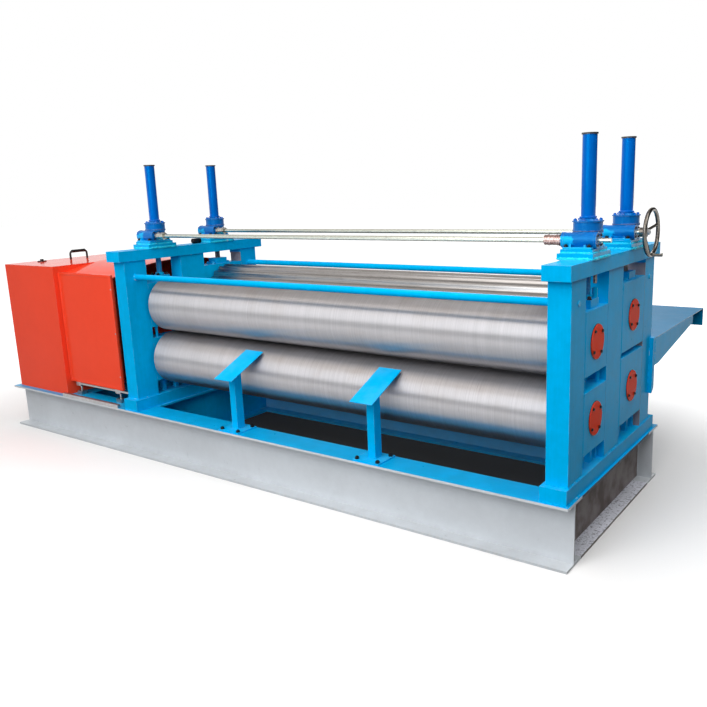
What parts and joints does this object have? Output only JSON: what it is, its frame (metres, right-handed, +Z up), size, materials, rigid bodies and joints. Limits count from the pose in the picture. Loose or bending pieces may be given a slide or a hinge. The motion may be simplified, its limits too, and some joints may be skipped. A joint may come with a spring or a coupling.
{
  "type": "corrugated sheet roll forming machine",
  "caption": "Barrel roll former on a welded beam base: plain feed rolls, fluted rolls in two stands, screw jacks, handwheel, drive guards and an outfeed tray.",
  "frame": {"origin": "on the floor, at the middle of the whole machine's bounding box", "axes": "+X along the rolls from the drive end to the operator end, +Y from the infeed side to the outfeed tray, +Z up"},
  "size_m": [5.926, 3.0714, 2.45],
  "materials": {
    "frame_blue": "brushed-on machine enamel, satin",
    "pad_blue": "machine enamel, satin",
    "jack_blue": "gloss enamel on castings",
    "beam_grey": "primer grey, matt",
    "guard_red": "powder coated sheet, satin",
    "cover_red": "enamel on a turned cover, satin",
    "roll_steel": "turned and ground, faint rings",
    "shaft_steel": "bright drawn bar",
    "screw_steel": "oiled and dark",
    "handwheel_steel": "polished rim, dull spokes",
    "cap_black": "matt moulded cap",
    "zinc_steel": "zinc plated"
  },
  "bodies": {
    "machine_frame": {"base_front_beam": "beam_grey", "base_rear_beam": "beam_grey", "base_end_beams": "beam_grey", "base_cross_beams": "frame_blue", "stand_foot_beams": "frame_blue", "operator_posts": "frame_blue", "operator_top_beam": "frame_blue", "drive_posts": "frame_blue", "drive_top_beam": "frame_blue", "tie_pipes": "frame_blue", "lower_chock_supports": "frame_blue", "chock_guide_pins": "frame_blue", "lower_front_chocks": "frame_blue", "lower_rear_chocks": "frame_blue", "lower_bearing_covers": "cover_red", "jack_pads": "pad_blue", "jack_housings": "jack_blue", "screw_tubes": "jack_blue", "screw_tube_caps": "cap_black", "feed_supports": "frame_blue", "outfeed_tray": "frame_blue", "tray_side_gussets": "frame_blue", "tray_mounting_bars": "frame_blue", "drive_cabinet": "guard_red", "cabinet_top_fittings": "cap_black", "coupling_guard": "guard_red", "guard_door": "guard_red", "guard_base_frame": "zinc_steel"},
    "front_lift": {"upper_front_chocks": "frame_blue", "upper_front_bearing_covers": "cover_red", "front_lifting_screws": "frame_blue"},
    "rear_lift": {"upper_rear_chocks": "frame_blue", "upper_rear_bearing_covers": "cover_red", "rear_lifting_screws": "screw_steel"},
    "lower_front_roll_body": {"lower_front_roll": "roll_steel", "lower_front_journals": "shaft_steel"},
    "upper_front_roll_body": {"upper_front_roll": "roll_steel", "upper_front_journals": "shaft_steel"},
    "lower_rear_roll_body": {"lower_rear_roll": "roll_steel", "lower_rear_journals": "shaft_steel"},
    "upper_rear_roll_body": {"upper_rear_roll": "roll_steel", "upper_rear_journals": "shaft_steel"},
    "front_shaft_body": {"front_connecting_shaft": "shaft_steel"},
    "rear_shaft_body": {"rear_connecting_shaft": "shaft_steel", "handwheel": "handwheel_steel"}
  },
  "joints": [
    {"name": "lower_front_roll_spin", "type": "hinge", "parent": "machine_frame", "child": "lower_front_roll_body", "pos_m": [0, -1.049, 0.8035], "axis": [1, 0, 0], "continuous": true},
    {"name": "lower_rear_roll_spin", "type": "hinge", "parent": "machine_frame", "child": "lower_rear_roll_body", "pos_m": [0, -0.3645, 0.8435], "axis": [1, 0, 0], "continuous": true},
    {"name": "front_roll_lift", "type": "slide", "parent": "machine_frame", "child": "front_lift", "axis": [0, 0, 1], "range_m": [-0.008, 0.08]},
    {"name": "rear_roll_lift", "type": "slide", "parent": "machine_frame", "child": "rear_lift", "axis": [0, 0, 1], "range_m": [-0.02, 0.06]},
    {"name": "upper_front_roll_spin", "type": "hinge", "parent": "front_lift", "child": "upper_front_roll_body", "pos_m": [0, -1.049, 1.2705], "axis": [1, 0, 0], "continuous": true},
    {"name": "upper_rear_roll_spin", "type": "hinge", "parent": "rear_lift", "child": "upper_rear_roll_body", "pos_m": [0, -0.3645, 1.3225], "axis": [1, 0, 0], "continuous": true},
    {"name": "front_shaft_spin", "type": "hinge", "parent": "machine_frame", "child": "front_shaft_body", "pos_m": [0, -1.111, 1.861], "axis": [1, 0, 0], "continuous": true},
    {"name": "rear_shaft_spin", "type": "hinge", "parent": "machine_frame", "child": "rear_shaft_body", "pos_m": [0, -0.4265, 1.861], "axis": [1, 0, 0], "continuous": true}
  ],
  "couplings": [
    {"joint": "lower_rear_roll_spin", "follows": "lower_front_roll_spin", "ratio": 1},
    {"joint": "upper_front_roll_spin", "follows": "lower_front_roll_spin", "ratio": -1},
    {"joint": "upper_rear_roll_spin", "follows": "lower_front_roll_spin", "ratio": -1}
  ]
}
